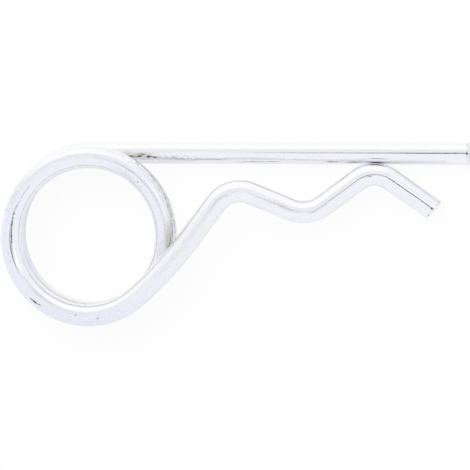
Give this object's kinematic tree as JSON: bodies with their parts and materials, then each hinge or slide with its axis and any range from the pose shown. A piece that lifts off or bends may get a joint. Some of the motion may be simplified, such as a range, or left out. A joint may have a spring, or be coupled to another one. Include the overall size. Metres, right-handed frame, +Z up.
{
  "type": "hitch R clip pin",
  "caption": "Double-coil R clip of round spring wire: a straight leg goes through a shaft's cross hole and a wave leg snaps round the shaft.",
  "frame": {"origin": "middle of the first turn of the coil, on the surface that the clip lies on", "axes": "+X along the straight leg towards its free end, +Y across the clip away from the wave leg, +Z up through the coil"},
  "size_m": [0.0851, 0.0333, 0.0094],
  "materials": {
    "wire": "bright zinc plated spring steel wire, with light scuffs and small stains"
  },
  "bodies": {
    "root": {"clip": "wire"}
  },
  "joints": []
}
